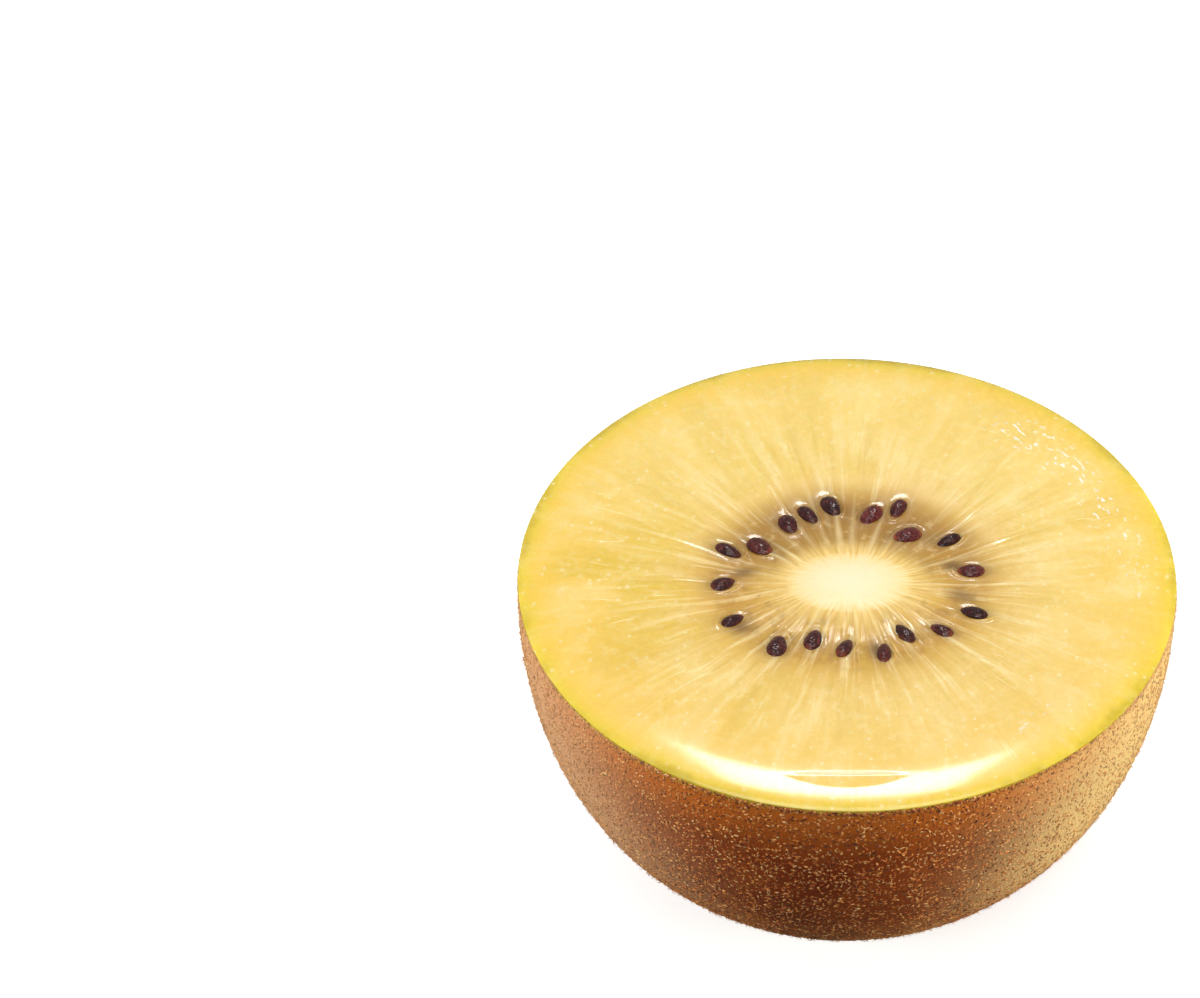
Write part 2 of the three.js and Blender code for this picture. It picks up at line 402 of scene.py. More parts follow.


# %% [markdown]
# ## The flesh
#
# The flesh is one closed body: the cut face on top, and underneath it the smooth wall that lies
# against the skin. The face needs a fine grid and the hidden wall doesn't, so the rings are close
# together in the seed ring and on the lip, and far apart elsewhere. Under the lip the body tucks in,
# and then laps a hair's breadth into the skin. Each point also keeps where it is on the plan, what
# tissue it is, and where painted shade and a painted highlight line go, for the material to read.

# %% Flesh
FACE_SIDES = 720
CORE_RINGS = 12
FINE_RINGS = 54
MIDDLE_RINGS = 11
EDGE_RINGS = 13
CORE_START = -0.93
FINE_END = 0.46
ROLL_INSETS = [5.6, 5.1, 4.7, 4.4, *np.arange(4.2, 2.3, -0.12), *np.arange(2.2, 1.0, -0.17)]
WALL_RINGS = 9
WALL_BOTTOM = 1.45 * MM
SKIN_LAP = 0.02 * MM
TUCK_INSETS = np.array([0, 0.02, 0.14]) * MM
TUCK_HEIGHTS = np.array([0.08, 0.03, -0.01]) * MM


def barrel_rings(turn, inset, bottom):
    """Shares and heights down the barrel: share is cos(turn)^(2/power), depth is sin(turn)^(2/power).

    An inset shrinks the barrel about the middle of the cut, and no height falls below the bottom.
    """
    scale = 1 - inset / HALF_WIDTH
    share = scale * np.cos(turn) ** (2 / BARREL_POWER)
    depth = scale * HALF_LENGTH * np.sin(turn) ** (2 / BARREL_POWER)
    return share, np.maximum(CUT_HEIGHT - depth, bottom)


def ring_shares():
    """The shares at which the face has rings, from the core's middle out over the lip."""
    edge_share = 1 - EDGE_INSET / FACE_WIDTH
    edge = EDGE_WIDTH * (1 - np.sin(np.linspace(0, math.pi / 2, EDGE_RINGS)))
    lip = edge_share - np.concatenate([np.array(ROLL_INSETS) * MM, edge]) / FACE_WIDTH
    core = np.linspace(CORE_START, 0, CORE_RINGS, endpoint=False)
    ring = np.linspace(0, FINE_END, FINE_RINGS, endpoint=False)
    middle = np.linspace(FINE_END, lip[0], MIDDLE_RINGS, endpoint=False)
    return np.concatenate([core, ring, middle, lip])


def build_flesh():
    shares = ring_shares()
    share, bearing = np.meshgrid(shares, bearings(FACE_SIDES), indexing="ij")
    share, bearing = share.ravel(), bearing.ravel()
    place = on_face(bearing, share)

    rng = np.random.default_rng(SPOKE_SEED)
    walls_and_painted_glints = spokes(bearing, share, **WALLS, rng=rng)
    fibres = spokes(bearing, share, **FIBRES, rng=rng)
    near, angle, nearest = distance_to_seeds(place, has_seed)
    deep = distance_to_seeds(place, ~has_seed)[0]
    middle = rng.uniform(0, FULL_TURN, has_seed.sum())[nearest]
    along_rim = bell(wrapped(angle - middle), JELLY_RIM_SPAN)
    crescent = along_rim * bell(near - JELLY_RIM_DISTANCE, JELLY_RIM_WIDTH)
    height = face_height(share, place) + WALL_RISE * walls_and_painted_glints + FIBRE_RISE * fibres
    height += JELLY_RIM_RISE * crescent - POCKET_DEPTH * bell(near**2, 1)
    height = np.minimum(height, TOP_HEIGHT)

    # Painted shade: a soft shadow over each deeper seed, and a fainter one round each cut seed.
    seed_shade = DEEP_SEED_SHADE * bell(deep, DEEP_SEED_SHADE_WIDTH) + NEAR_SEED_SHADE * bell(near, NEAR_SEED_SHADE_WIDTH)
    jelly = bell(near**2, JELLY_WIDTH)
    bite_span = np.clip(1 - ((place[:, 0] - BITE_MIDDLE) / BITE_HALF_WIDTH) ** 2, 0, 1)
    # A painted highlight line along the crest of the knife's second bite; it joins the pale walls and
    # fibres in the first channel.
    painted_crest_highlight = bell(place[:, 1] - BITE_LINE + BITE_STEP_WIDTH / 2, BITE_CREST_WIDTH) * bite_span**0.5
    pale = np.maximum(np.maximum(walls_and_painted_glints, FIBRE_PALENESS * fibres), PAINTED_CREST_HIGHLIGHT * painted_crest_highlight)
    tissue_and_painted_light = np.stack([pale, seed_shade, jelly], -1)
    plan = np.stack([np.cos(bearing), np.sin(bearing), share], -1)

    wall_turn = np.linspace(0, math.pi / 2, WALL_RINGS + 2)[1:-1]
    wall_inset = FUZZ_HEIGHT + SKIN_THICKNESS - SKIN_LAP
    wall_share, wall_height = barrel_rings(wall_turn, wall_inset, WALL_BOTTOM)
    under_share = np.concatenate([1 - (EDGE_INSET + TUCK_INSETS) / HALF_WIDTH, wall_share])
    under_height = np.tile(np.r_[CUT_HEIGHT + TUCK_HEIGHTS, wall_height][:, None], FACE_SIDES)
    under = oval_rings(under_share, under_height, HALF_WIDTH, HALF_DEPTH)

    top = np.column_stack([place, height])
    points = np.vstack([[*CORE_PLACE, TOP_HEIGHT], top, under, [0, 0, WALL_BOTTOM]])
    hidden = len(under) + 1
    edge_plan = np.tile(plan[-FACE_SIDES:], (len(under_share), 1))
    edge_plan[:, 2] = 1
    plan = np.vstack([[0, 0, -1], plan, edge_plan, [0, 0, 1]])
    tissue_and_painted_light = np.vstack([[0, 0, 0], tissue_and_painted_light, np.zeros((hidden, 3))])
    faces = ring_faces(len(shares) + len(under_share), FACE_SIDES)
    return new_piece("flesh", points, faces, {"plan": plan, "tissue_and_painted_light": tissue_and_painted_light})


flesh = build_flesh()

# %% [markdown]
# ## The skin
#
# The skin is a thin closed shell. Its rings run from the middle of the inner floor up the inside,
# over the cut edge and down the outside to the flat spot and the dimple that the stalk left. The
# knife frays the edge, so the rim goes up and down a little, as a sum of quick waves. The fuzz
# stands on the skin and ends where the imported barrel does, so the skin is set in by its height.

# %% Skin
SKIN_SIDES = 600
DIMPLE_RADIUS = 3.9 * MM
DIMPLE_DEPTH = 1 * MM
SCAR_RADIUS = 2.1 * MM
RIM_FRAY = 0.07 * MM
FRAY_DEPTH = 0.6 * MM
FRAY_WAVES = (17, 41, 73, 127, 181, 233)
FRAY_SEED = 5
FLOOR_HEIGHT = 1.5 * MM
INNER_RINGS = 22
RIM_RINGS = 4
OUTER_RINGS = 116
DIMPLE_RINGS = 16
SCAR_LAP = 0.6


def rim_fray(bearing, rng):
    """Ups and downs of the cut rim: six waves of random phase, quick ones among them."""
    total = np.zeros_like(bearing)
    for waves in FRAY_WAVES:
        total += np.sin(waves * bearing + rng.uniform(0, FULL_TURN)) / 3
    return RIM_FRAY * total


def build_skin():
    fray = rim_fray(bearings(SKIN_SIDES), np.random.default_rng(FRAY_SEED))
    inner_turn = np.linspace(math.pi / 2, 0, INNER_RINGS + 2)[1:-1]
    inner_share, inner_height = barrel_rings(inner_turn, FUZZ_HEIGHT + SKIN_THICKNESS, FLOOR_HEIGHT)
    rim_turn = np.linspace(0, math.pi, RIM_RINGS + 2)[1:-1]
    rim_inset = FUZZ_HEIGHT + SKIN_THICKNESS / 2 * (1 + np.cos(rim_turn))
    rim_share = 1 - rim_inset / HALF_WIDTH
    rim_height = CUT_HEIGHT + SKIN_THICKNESS / 2 * np.sin(rim_turn)
    outer_length = HALF_LENGTH * (1 - FUZZ_HEIGHT / HALF_WIDTH)
    outer_turn = np.arcsin((CUT_HEIGHT / outer_length) ** (BARREL_POWER / 2))
    outer_share, outer_height = barrel_rings(np.linspace(0, outer_turn, OUTER_RINGS), FUZZ_HEIGHT, 0)
    dimple_way = np.linspace(0, 1, DIMPLE_RINGS)
    dimple_share = (DIMPLE_RADIUS + (SCAR_RADIUS * SCAR_LAP - DIMPLE_RADIUS) * dimple_way) / HALF_WIDTH
    dimple_height = DIMPLE_DEPTH * np.sin(dimple_way * math.pi / 2) ** 2

    shares = np.concatenate([inner_share, rim_share, outer_share, dimple_share])
    heights = np.concatenate([inner_height, rim_height, outer_height, dimple_height])
    frayed = heights[:, None] + bell(CUT_HEIGHT - heights, FRAY_DEPTH)[:, None] * fray
    points = oval_rings(shares, frayed, HALF_WIDTH, HALF_DEPTH)
    points = np.vstack([[0, 0, FLOOR_HEIGHT], points, [0, 0, DIMPLE_DEPTH]])
    return new_piece("skin", points, ring_faces(len(shares), SKIN_SIDES))


skin = build_skin()

# %% [markdown]
# ## The fuzz
#
# A golden kiwi looks bald from a step away, but its skin is covered with short golden and russet
# tufts and fine hairs, which make it look like suede. Blender's hair curves would do, but closed
# little meshes go anywhere the model goes. Points are scattered evenly over the barrel: a table of
# the area from the rim down to each ring is read backwards for random shares of the whole area.


# %% Scatter over the skin
def barrel_normals(points):
    """Outward directions of the barrel: the gradient of (radius)^power + (depth)^power."""
    x, y = points[:, 0] / HALF_WIDTH, points[:, 1] / HALF_DEPTH
    radius = np.hypot(x, y)
    depth = np.clip((CUT_HEIGHT - points[:, 2]) / HALF_LENGTH, 0, 1)
    slope = radius ** (BARREL_POWER - 2)
    gradient = [slope * x / HALF_WIDTH, slope * y / HALF_DEPTH]
    normals = np.column_stack([*gradient, -(depth ** (BARREL_POWER - 1)) / HALF_LENGTH])
    return normals / np.linalg.norm(normals, axis=1, keepdims=True)


def scatter(count, inset, rng):
    """Random points of the barrel, even over its area, with their outward directions."""
    table_turn = np.linspace(0, math.pi / 2, 400)
    share, height = barrel_rings(table_turn, inset, 0)
    radius = share * HALF_WIDTH
    steps = np.hypot(np.diff(radius), np.diff(height)) * (radius[1:] + radius[:-1])
    area = np.concatenate([[0], np.cumsum(steps * (height[1:] > 0))])
    turn = np.interp(rng.uniform(0, area[-1], count), area, table_turn)
    share, height = barrel_rings(turn, inset, 0)
    around = on_oval(rng.uniform(0, FULL_TURN, count), HALF_WIDTH, HALF_DEPTH)
    points = np.column_stack([share[:, None] * around, height])
    return points, barrel_normals(points)


def random_tangents(normals, rng):
    """For each direction, a random direction square to it."""
    guess = rng.normal(size=normals.shape)
    guess -= (guess * normals).sum(1, keepdims=True) * normals
    return guess / np.linalg.norm(guess, axis=1, keepdims=True)


# %% Tufts
TUFTS = 24000
TUFT_SEED = 21
RIM_TUFTS = 2400
RIM_BAND = (-0.4 * MM, -0.08 * MM)
TUFT_SIZE = np.array([0.23, 0.11, 0.06]) * MM
TUFT_SCALES = (0.5, 1.3)


def build_tufts():
    """Flat little lozenges bedded in the skin: octahedra with six points and eight faces each.

    The first of them are moved to a narrow band just under the cut, where the skin is ragged.
    """
    rng = np.random.default_rng(TUFT_SEED)
    points, normals = scatter(TUFTS, FUZZ_HEIGHT, rng)
    on_rim = np.arange(TUFTS) < RIM_TUFTS
    rim_points = on_oval(rng.uniform(0, FULL_TURN, RIM_TUFTS), HALF_WIDTH, HALF_DEPTH)
    points[on_rim, :2] = rim_points * (1 - FUZZ_HEIGHT / HALF_WIDTH)
    points[on_rim, 2] = CUT_HEIGHT + rng.uniform(*RIM_BAND, RIM_TUFTS)
    normals[on_rim] = barrel_normals(points[on_rim])
    along = random_tangents(normals, rng)
    across = np.cross(normals, along)
    size = TUFT_SIZE * rng.uniform(*TUFT_SCALES, (TUFTS, 3))
    axes = np.stack([along * size[:, :1], across * size[:, 1:2], normals * size[:, 2:]], 1)
    low_enough = on_rim | (points[:, 2] < CUT_HEIGHT - TUFT_SIZE[0])
    keep = (points[:, 2] > TUFT_SIZE[0]) & low_enough
    shape = np.array([[1, 0, 0], [0, 1, 0], [-1, 0, 0], [0, -1, 0], [0, 0, 1], [0, 0, -1]], float)
    faces = [[i, (i + 1) % 4, 4] for i in range(4)] + [[(i + 1) % 4, i, 5] for i in range(4)]
    made, all_faces = stamp(shape, faces, points[keep], axes[keep])
    tone = np.repeat(rng.uniform(0, 1, keep.sum()), len(shape))
    return new_piece("skin_tufts", made, all_faces, {"tone": tone})


tufts = build_tufts()

# %% Hairs
HAIRS = 8000
HAIR_SEED = 33
HAIR_LENGTH = 0.42 * MM
HAIR_HALF_WIDTH = 0.022 * MM
HAIR_LENGTH_SCALES = (0.5, 1.1)
HAIR_WIDTH_SCALES = (0.7, 1.3)
LONG_HAIRS = 300
LONG_HAIR_SCALE = 2.0
BEND_OUT = (0.42, 0.46)
BEND_OVER = 0.35
BEND_WIDTH = 0.7
TIP_OUT = 0.48
TIP_OVER = 0.95
CORNER = 0.05
HAIR_CLEARANCE = 0.05 * MM


def build_hairs():
    """Bent three-sided spikes: a foot ring, a ring at the bend, and a point at the tip.

    Each hair's own X axis is its outward direction and its Z axis the way it leans, and both are
    measured in hair lengths. The tip is hardly further out than the bend, but much further over, so
    the hair lies down. A few hairs are longer, and lie flatter still.
    """
    rng = np.random.default_rng(HAIR_SEED)
    points, normals = scatter(HAIRS, FUZZ_HEIGHT, rng)
    lean = random_tangents(normals, rng)
    across = np.cross(lean, normals)
    length = HAIR_LENGTH * rng.uniform(*HAIR_LENGTH_SCALES, (HAIRS, 1))
    thick = HAIR_HALF_WIDTH * rng.uniform(*HAIR_WIDTH_SCALES, (HAIRS, 1))
    longer = np.where(np.arange(HAIRS) < LONG_HAIRS, LONG_HAIR_SCALE, 1.0)[:, None]
    axes = np.stack([normals * length, across * thick, lean * length * longer], 1)
    foot = [[0, -1, CORNER], [0, 1, CORNER], [0, 0, -CORNER]]
    low, high = BEND_OUT
    over, under = BEND_OVER + CORNER, BEND_OVER - CORNER
    bend = [[low, -BEND_WIDTH, over], [low, BEND_WIDTH, over], [high, 0, under]]
    shape = np.array([*foot, *bend, [TIP_OUT, 0, TIP_OVER]])
    faces = [[3, 4, 1, 0], [4, 5, 2, 1], [5, 3, 0, 2], [6, 4, 3], [6, 5, 4], [6, 3, 5], [0, 1, 2]]
    tips = points[:, 2] + axes[:, 0, 2] * TIP_OUT + axes[:, 2, 2] * TIP_OVER
    keep = (tips > HAIR_CLEARANCE) & (points[:, 2] > 2 * HAIR_CLEARANCE) & (tips < FLESH_HEIGHT)
    made, all_faces = stamp(shape, faces, points[keep], axes[keep])
    tone = np.repeat(rng.uniform(0, 1, keep.sum()), len(shape))
    return new_piece("skin_hairs", made, all_faces, {"tone": tone})


hairs = build_hairs()

# %% [markdown]
# ## The stem scar
#
# Where the stalk was, a corky button sits in the dimple of the resting end. It is seen only from
# below, but a fruit has one. It is a low round cake whose face has rings and cracks.

# %% Stem scar
SCAR_SIDES = 120
SCAR_RINGS = 30
SCAR_FACE = 0.5 * MM
SCAR_BEDDING = 0.3 * MM
SCAR_EDGE = 0.15
SCAR_RELIEF = 0.05 * MM


def build_scar():
    """Rings from the hidden top out, down the edge and in over the face, which waves in and out."""
    bearing = bearings(SCAR_SIDES)
    share = np.concatenate([[0.5, 0.92], np.linspace(1, 0.06, SCAR_RINGS)])
    edge = np.clip(np.linspace(0, 1, SCAR_RINGS) / SCAR_EDGE, 0, 1)
    face = SCAR_FACE + (DIMPLE_DEPTH - SCAR_FACE) * (1 - edge) ** 2
    top = DIMPLE_DEPTH + SCAR_BEDDING
    height = np.concatenate([[top, top], face])
    inside = np.concatenate([[0, 0], edge])
    wave = np.cos(26 * share)[:, None] + 1.4 * np.sin(7 * bearing + 1)[None]
    crack = np.abs(np.sin(4.5 * bearing[None] + 3 * share[:, None])) ** 0.3
    heights = height[:, None] + SCAR_RELIEF * inside[:, None] * (wave + 2 * (1 - crack))
    points = oval_rings(share, heights, SCAR_RADIUS, SCAR_RADIUS)
    points = np.vstack([[0, 0, top], points, [0, 0, SCAR_FACE + 2 * SCAR_RELIEF]])
    return new_piece("stem_scar", points, ring_faces(len(share), SCAR_SIDES))


scar = build_scar()

# %% [markdown]
# ## The seeds
#
# A kiwi seed is a flat drop: blunt at one end, pointed at the end that faces the core, and pitted
# like a thimble. One seed is a grid of rings from tip to tip. The pits are a product of two waves
# that shift by half a pit from ring to ring. It is stamped once for each chamber that has a seed.

# %% Seeds
SEED_RINGS = 56
SEED_SIDES = 60
PIT_DEPTH = 0.07
TAPER = 0.2
FULLEST = 1.03
TILT_SEED = 8
TILT = 0.18
ROLL = 0.4


def seed_shape():
    """A drop along X, of half length 1: the radius is sin(turn), less towards the pointed end."""
    turn = np.linspace(0, math.pi, SEED_RINGS + 2)[1:-1]
    around = bearings(SEED_SIDES)
    girth = np.sin(turn) * (1 + TAPER * np.cos(turn)) / FULLEST
    pits = np.sin(8 * turn)[:, None] * np.sin(7 * around[None] + 3.5 * turn[:, None])
    radius = girth[:, None] * (1 - PIT_DEPTH * np.maximum(pits, 0))
    points = np.empty((SEED_RINGS, SEED_SIDES, 3))
    points[..., 0] = np.cos(turn)[:, None]
    points[..., 1] = radius * np.cos(around)
    points[..., 2] = radius * np.sin(around)
    return np.vstack([[1, 0, 0], points.reshape(-1, 3), [-1, 0, 0]])


def build_seeds():
    shape = seed_shape()
    share, angle, half = seed_share[has_seed], seed_angle[has_seed], seed_half[has_seed]
    count = len(share)
    height = FLESH_HEIGHT - ring_hollow(share) - SEED_SINK
    places = np.column_stack([seed_place[has_seed], height])
    rng = np.random.default_rng(TILT_SEED)
    tilt, roll = rng.uniform(-TILT, TILT, count), rng.uniform(-ROLL, ROLL, count)
    forward = np.column_stack([np.cos(angle) * np.cos(tilt), np.sin(angle) * np.cos(tilt), np.sin(tilt)])
    side = np.column_stack([-np.sin(angle), np.cos(angle), np.zeros(count)])
    over = np.cross(forward, side)
    turned_side = np.cos(roll)[:, None] * side + np.sin(roll)[:, None] * over
    turned_over = np.cos(roll)[:, None] * over - np.sin(roll)[:, None] * side
    axes = np.stack([forward * half[:, :1], turned_side * half[:, 1:2], turned_over * half[:, 2:]], 1)
    points, faces = stamp(shape, ring_faces(SEED_RINGS, SEED_SIDES), places, axes)
    tone = np.repeat(rng.uniform(0, 1, count), len(shape))
    tip = np.tile(np.abs(shape[:, 0]), count)
    return new_piece("seeds", points, faces, {"tone": tone, "tip": tip})


seeds = build_seeds()

# %% [markdown]
# ## Nodes without the clicking
#
# A material is a small graph. These helpers add a node, set it and link it in one line, so that the
# graphs below read like sentences. Colours are written as the eye sees them on a screen, and turned
# into the straight light values that the renderer works with.


# %% Node helpers
def paint(code):
    """A screen colour such as f0cf58 as red, green, blue and alpha in straight light values."""
    shown = np.array([int(code[i : i + 2], 16) for i in (0, 2, 4)]) / 255
    straight = np.where(shown <= 0.04045, shown / 12.92, ((shown + 0.055) / 1.055) ** 2.4)
    return (*straight.tolist(), 1)


def fill(tree, made, inputs):
    """Sets inputs of a node. Each is a plain value, or another node's output to link to."""
    for name, value in inputs.items():
        if isinstance(value, bpy.types.NodeSocket):
            tree.links.new(value, made.inputs[name])
        else:
            made.inputs[name].default_value = value


def node(tree, kind, inputs=None, **settings):
    """Adds a node with its settings and its inputs."""
    made = tree.nodes.new(kind)
    for name, value in settings.items():
        setattr(made, name, value)
    fill(tree, made, inputs or {})
    return made


def maths(tree, operation, a, b=0.0):
    return node(tree, "ShaderNodeMath", {0: a, 1: b}, operation=operation).outputs[0]


def times(tree, *values):
    """The product of all the values."""
    total = values[0]
    for value in values[1:]:
        total = maths(tree, "MULTIPLY", total, value)
    return total


def plus(tree, *values):
    """The sum of all the values."""
    total = values[0]
    for value in values[1:]:
        total = maths(tree, "ADD", total, value)
    return total


def centred(tree, value):
    """A value from 0 to 1, moved to between minus and plus a half."""
    return maths(tree, "SUBTRACT", value, 0.5)


def blend_colours(tree, factor, a, b):
    return node(tree, "ShaderNodeMix", {"Factor": factor, 6: a, 7: b}, data_type="RGBA").outputs[2]


def tinted(tree, colour, *layers):
    """A colour with layers laid over it in turn. A layer is an amount and a colour code."""
    for amount, code in layers:
        colour = blend_colours(tree, amount, colour, paint(code))
    return colour


def ramp(tree, factor, stops):
    """A colour ramp from a list of (place, colour code)."""
    made = node(tree, "ShaderNodeValToRGB", {"Fac": factor})
    elements = made.color_ramp.elements
    while len(elements) < len(stops):
        elements.new(0.5)
    for element, (place, code) in zip(elements, stops):
        element.position = place
        element.color = paint(code)
    return made.outputs["Color"]


def spread(tree, value, low_in, high_in, low_out=0.0, high_out=1.0, shape="SMOOTHSTEP"):
    """A value moved from one range to another, smoothly at both ends, and held there."""
    inputs = {"Value": value, 1: low_in, 2: high_in, 3: low_out, 4: high_out}
    return node(tree, "ShaderNodeMapRange", inputs, interpolation_type=shape).outputs[0]


def noise(tree, vector, stretch, detail=3.0, roughness=0.55):
    """Smooth noise in space. The stretch is its features in one unit: one number, or one each way."""
    stretches = np.full(3, stretch, float).tolist()
    scaled = node(tree, "ShaderNodeVectorMath", {0: vector, 1: stretches}, operation="MULTIPLY")
    inputs = {"Vector": scaled.outputs[0], "Scale": 1.0, "Detail": detail, "Roughness": roughness}
    return node(tree, "ShaderNodeTexNoise", inputs).outputs["Fac"]


def attribute(tree, name, output):
    return node(tree, "ShaderNodeAttribute", attribute_name=name).outputs[output]


def object_place(tree):
    return node(tree, "ShaderNodeTexCoord").outputs["Object"]


def parts_of(tree, vector):
    """The X, Y and Z of a vector."""
    return node(tree, "ShaderNodeSeparateXYZ", {"Vector": vector}).outputs


def turned_away(tree):
    """How far the surface has turned from the eye: 0 where it faces the eye, 1 at its outline."""
    return node(tree, "ShaderNodeLayerWeight", {"Blend": 0.5}).outputs["Facing"]


def bumped(tree, height, strength, distance):
    """The normal of a surface with this relief."""
    inputs = {"Height": height, "Strength": strength, "Distance": distance}
    return node(tree, "ShaderNodeBump", inputs).outputs["Normal"]


def new_material(name):
    """An empty material with one Principled shader: the material, its graph and the shader."""
    material = bpy.data.materials.new(name)
    material.use_nodes = True
    tree = material.node_tree
    tree.nodes.clear()
    shader = node(tree, "ShaderNodeBsdfPrincipled")
    node(tree, "ShaderNodeOutputMaterial", {"Surface": shader.outputs["BSDF"]})
    return material, tree, shader


# %% [markdown]
# ## One effect for several materials
#
# Specks turn up all over the fruit: russet dots on the skin, pale flecks in the flesh, pits on the
# seeds, cells in the cork. They are one node group with a vector and a speck size going in, and a
# soft round mask and a random tone coming out. The materials use it with their own values.

# %% Speckle group
SPECKLE_SOCKETS = [
    ("Vector", "INPUT", "NodeSocketVector"),
    ("Scale", "INPUT", "NodeSocketFloat"),
    ("Reach", "INPUT", "NodeSocketFloat"),
    ("Mask", "OUTPUT", "NodeSocketFloat"),
    ("Tone", "OUTPUT", "NodeSocketFloat"),
]


def speckle_group():
    """Voronoi cells: the mask falls from 1 at a cell's centre to 0 at Reach, the tone is random."""
    group = bpy.data.node_groups.new("Speckle", "ShaderNodeTree")
    for name, way, kind in SPECKLE_SOCKETS:
        group.interface.new_socket(name=name, in_out=way, socket_type=kind)
    start = node(group, "NodeGroupInput").outputs
    cells = node(group, "ShaderNodeTexVoronoi", {"Vector": start["Vector"], "Scale": start["Scale"]})
    share = maths(group, "DIVIDE", cells.outputs["Distance"], start["Reach"])
    tone = node(group, "ShaderNodeSeparateColor", {"Color": cells.outputs["Color"]}).outputs[0]
    node(group, "NodeGroupOutput", {"Mask": spread(group, share, 1.0, 0.35), "Tone": tone})
    return group


SPECKLE = speckle_group()


def specks(tree, vector, scale, reach):
    """The Speckle group in a material: its mask and its tone."""
    inputs = {"Vector": vector, "Scale": scale, "Reach": reach}
    made = node(tree, "ShaderNodeGroup", inputs, node_tree=SPECKLE)
    return made.outputs["Mask"], made.outputs["Tone"]


# %% [markdown]
# ## Ripe flesh
#
# The colours of the cut face lie in zones: a cream core, a golden clear ring where the seeds are,
# then yellow that deepens to a greenish edge under the skin. One colour ramp over the share holds
# the zones, and noise that is stretched along the bearings shifts the share, so the core frays into
# rays. Broad wedges of the same kind of noise make the outer flesh deeper here and paler there. The
# knife also left rows of little nicks near the lip; they are real bumps, and their white is a painted
# highlight of the light they catch. The pale walls between the chambers partly stand for wet glints,
# a painted highlight line runs along the crest of the knife's second bite, and painted shade darkens
# the flesh round each seed and over each deeper one. The flesh lets light in, so it has some
# subsurface scattering, and it is wet, so it has a clear coat. The jelly round each seed is uneven,
# so it glints.

# %% Flesh material
CORE_ZONES = [(0.0, "fbf0cc"), (0.22, "fbecc0"), (0.39, "fae4ac"), (0.48, "f3d486")]
RING_ZONES = [(0.53, "deb65a"), (0.57, "ce9e44"), (0.62, "c89840"), (0.68, "e4bc60")]
OUTER_ZONES = [(0.76, "f2d276"), (0.86, "f7cf5c"), (0.96, "f9d055")]
EDGE_ZONES = [(0.985, "ecce44"), (1.0, "ccb22a")]
FLESH_ZONES = CORE_ZONES + RING_ZONES + OUTER_ZONES + EDGE_ZONES


def zone_colours(tree, plan, rays, outer, inside):
    """The zones, deeper and paler wedges, streaks, and the browner ring of the seeds.

    `aside` is highest at the front right, where the flesh is palest, and lowest at the back left.
    """
    cosine, sine, share = parts_of(tree, plan)
    wedge = noise(tree, plan, (4.2, 4.2, 2.6))
    frayed = times(tree, centred(tree, rays), spread(tree, share, 0.2, -0.1), 0.65)
    swayed = times(tree, centred(tree, wedge), outer, 0.16)
    reach = plus(tree, share, frayed, swayed)
    zones = ramp(tree, spread(tree, reach, -1.0, 1.0, shape="LINEAR"), FLESH_ZONES)

    aside = plus(tree, times(tree, cosine, 0.6), times(tree, sine, -0.8))
    golden = plus(tree, spread(tree, wedge, 0.56, 0.38), spread(tree, aside, 0.0, -1.0, 0.0, 0.4))
    golden = times(tree, golden, outer, inside, spread(tree, aside, 0.0, 0.9, 0.75, 0.25))
    pale = plus(tree, spread(tree, wedge, 0.5, 0.65), spread(tree, aside, 0.0, 1.0, 0.0, 0.55))
    behind = times(tree, spread(tree, sine, -0.1, 0.8, 0.0, 0.4), outer, inside)
    ahead = times(tree, spread(tree, sine, 0.1, -0.8, 0.0, 0.34), outer, inside)
    streaks = noise(tree, plan, (20, 20, 2.6), 4, 0.65)
    streaked = times(tree, spread(tree, share, 0.0, 0.1), spread(tree, share, 0.8, 0.35, 0.25, 1.0))
    ring = times(tree, spread(tree, share, 0.0, 0.08), spread(tree, share, 0.38, 0.18))
    cells = noise(tree, object_place(tree), 1100)
    return tinted(
        tree,
        zones,
        (golden, "e6c23c"),
        (times(tree, pale, outer, inside, 0.42), "fbe49c"),
        (behind, "ffe69c"),
        (ahead, "e8c05a"),
        (times(tree, spread(tree, streaks, 0.5, 0.66), streaked, 0.65), "fbe6a6"),
        (times(tree, spread(tree, streaks, 0.5, 0.3), streaked, 0.5), "d8b44c"),
        (times(tree, ring, spread(tree, sine, -0.3, 0.9), 0.7), "9c6e28"),
        (times(tree, spread(tree, cells, 0.5, 0.7), ring, 0.5), "a87c30"),
        (times(tree, spread(tree, cells, 0.45, 0.3), ring, 0.4), "f2d898"),
    )


def knife_nicks_and_painted_glints(tree, plan):
    """Small dashes near the lip, raised as bumps and painted white as highlights: a few patches on the
    right, and most of them at the back right.
    """
    cosine, sine, share = parts_of(tree, plan)
    dashes = spread(tree, noise(tree, plan, (26, 26, 64), 1), 0.62, 0.68)
    patches = spread(tree, noise(tree, plan, (2.2, 2.2, 3), 1), 0.58, 0.66, 0.0, 0.5)
    patches = times(tree, patches, spread(tree, cosine, 0.2, 0.5))
    towards = plus(tree, times(tree, cosine, 0.84), times(tree, sine, 0.54))
    patches = maths(tree, "MAXIMUM", patches, spread(tree, towards, 0.86, 0.96))
    rim_band = times(tree, spread(tree, share, 0.68, 0.78), spread(tree, share, 0.92, 0.84))
    return times(tree, dashes, patches, rim_band)


def winding_veins(tree, plan):
    """Thin lines where stretched noise passes through its middle value, kept to some places."""
    winding = maths(tree, "ABSOLUTE", centred(tree, noise(tree, plan, (8, 8, 1), 1)))
    some = spread(tree, noise(tree, plan, (6, 6, 4), 1), 0.5, 0.6)
    return times(tree, spread(tree, winding, 0.014, 0.0), some)


